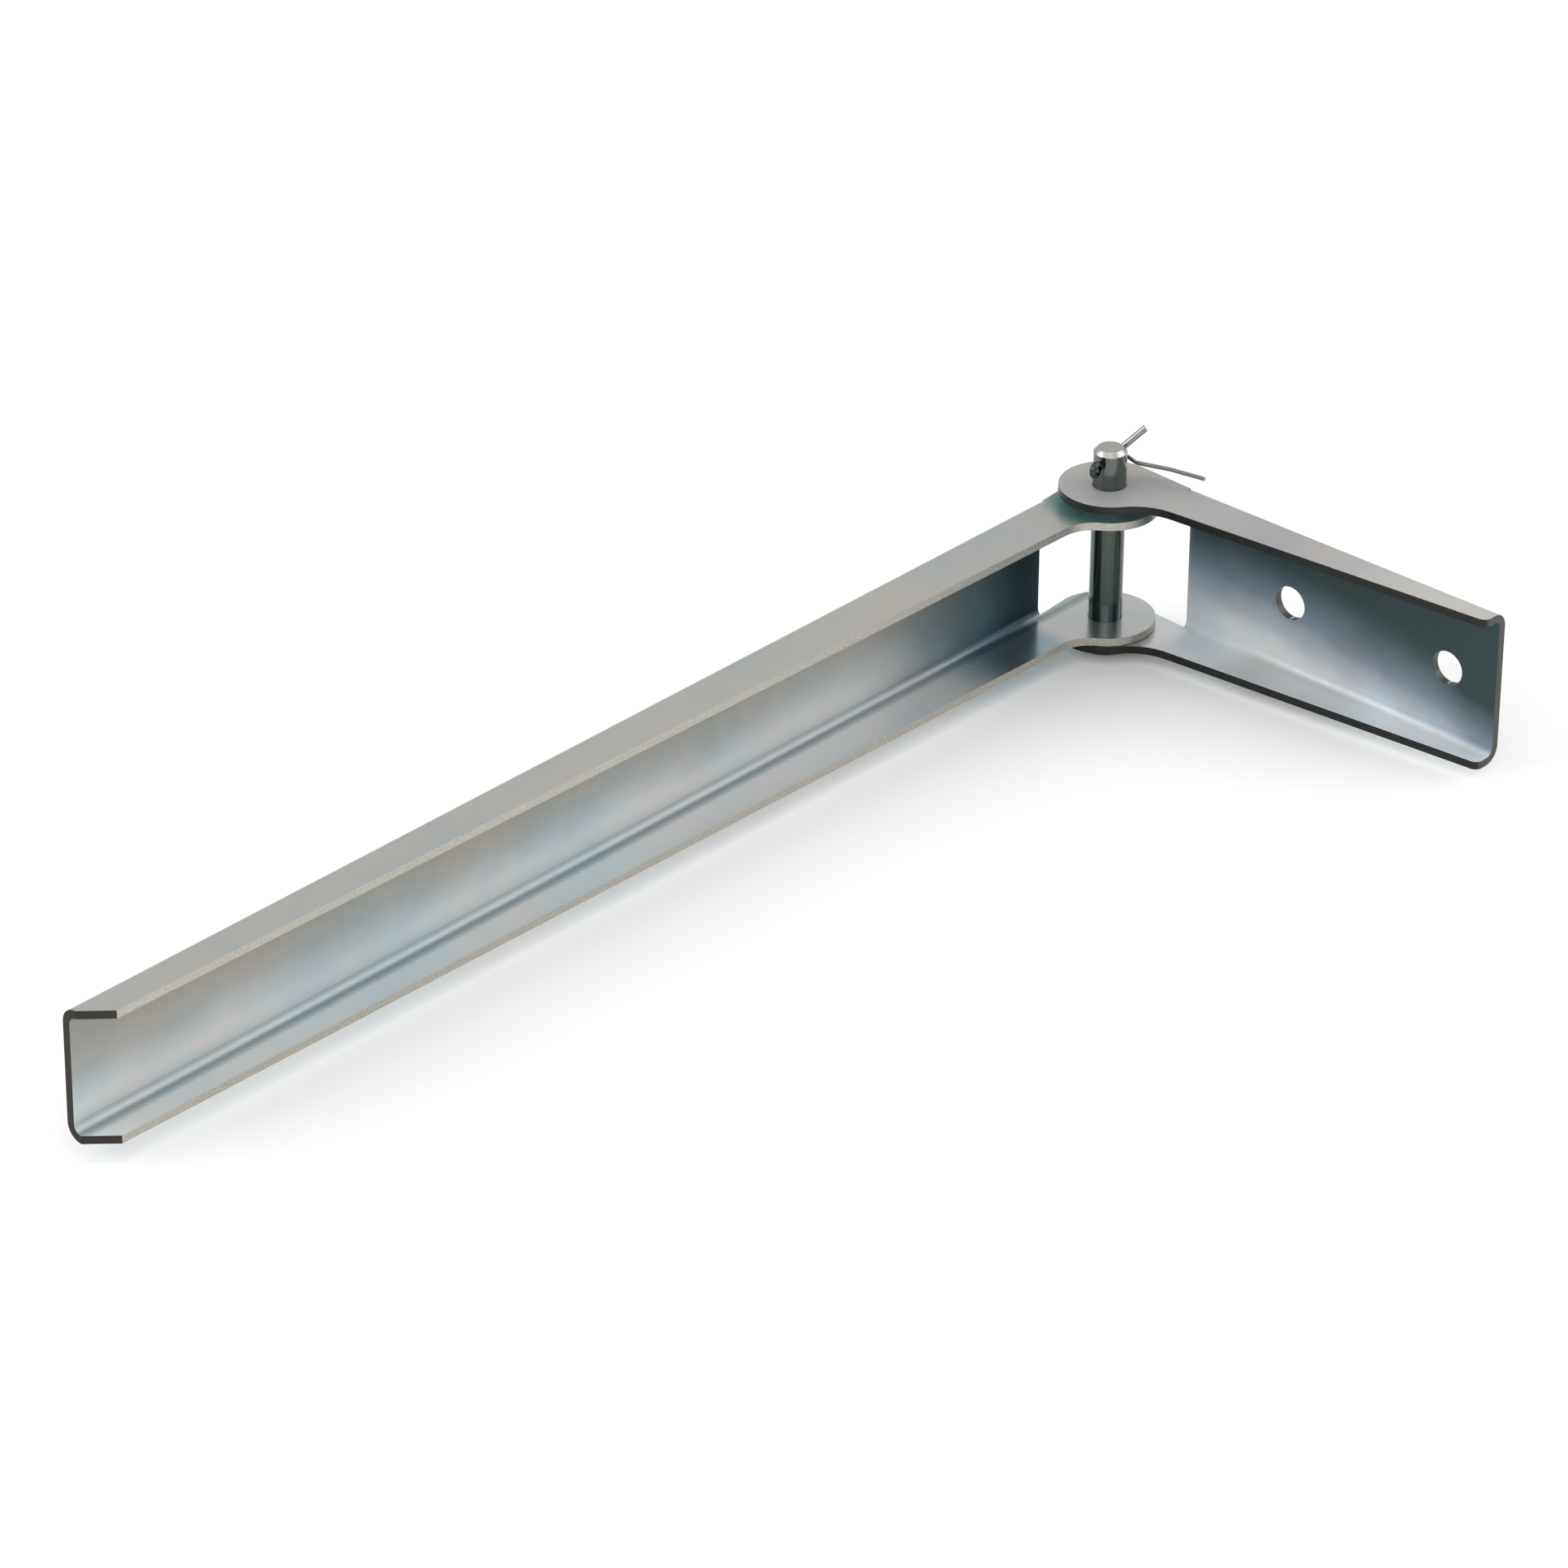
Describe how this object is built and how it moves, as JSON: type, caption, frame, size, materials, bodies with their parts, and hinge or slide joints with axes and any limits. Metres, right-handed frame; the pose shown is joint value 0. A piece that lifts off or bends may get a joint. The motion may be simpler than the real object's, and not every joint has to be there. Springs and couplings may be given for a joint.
{
  "type": "folding table hinge",
  "caption": "Folding table hinge: a short pressed steel channel that screws to a frame and a long nested channel that swings out about a clevis pin held by a split pin.",
  "frame": {"origin": "middle of the two screw holes, on the back face of the short channel", "axes": "+Y out of the back face, towards what the hinge is screwed to; +X along the short channel, away from the pin; +Z along the pin, from its head to its split pin"},
  "size_m": [0.1195, 0.3355, 0.055],
  "materials": {
    "zinc_short": "zinc plated sheet",
    "zinc_long": "zinc plated sheet",
    "pin_steel": "zinc plated, turned",
    "wire_steel": "zinc plated wire",
    "washer_steel": "zinc plated"
  },
  "bodies": {
    "wall_arm": {"short_channel": "zinc_short"},
    "leaf_arm": {"long_channel": "zinc_long", "spacer_washer": "washer_steel"},
    "hinge_pin": {"clevis_pin": "pin_steel", "split_pin": "wire_steel"}
  },
  "joints": [
    {"name": "arm_swing", "type": "hinge", "parent": "wall_arm", "child": "leaf_arm", "pos_m": [-0.069, -0.0135, 0], "axis": [0, 0, 1], "range_deg": [-90, 90]},
    {"name": "pin_turn", "type": "hinge", "parent": "wall_arm", "child": "hinge_pin", "pos_m": [-0.069, -0.0135, 0], "axis": [0, 0, 1], "continuous": true}
  ]
}
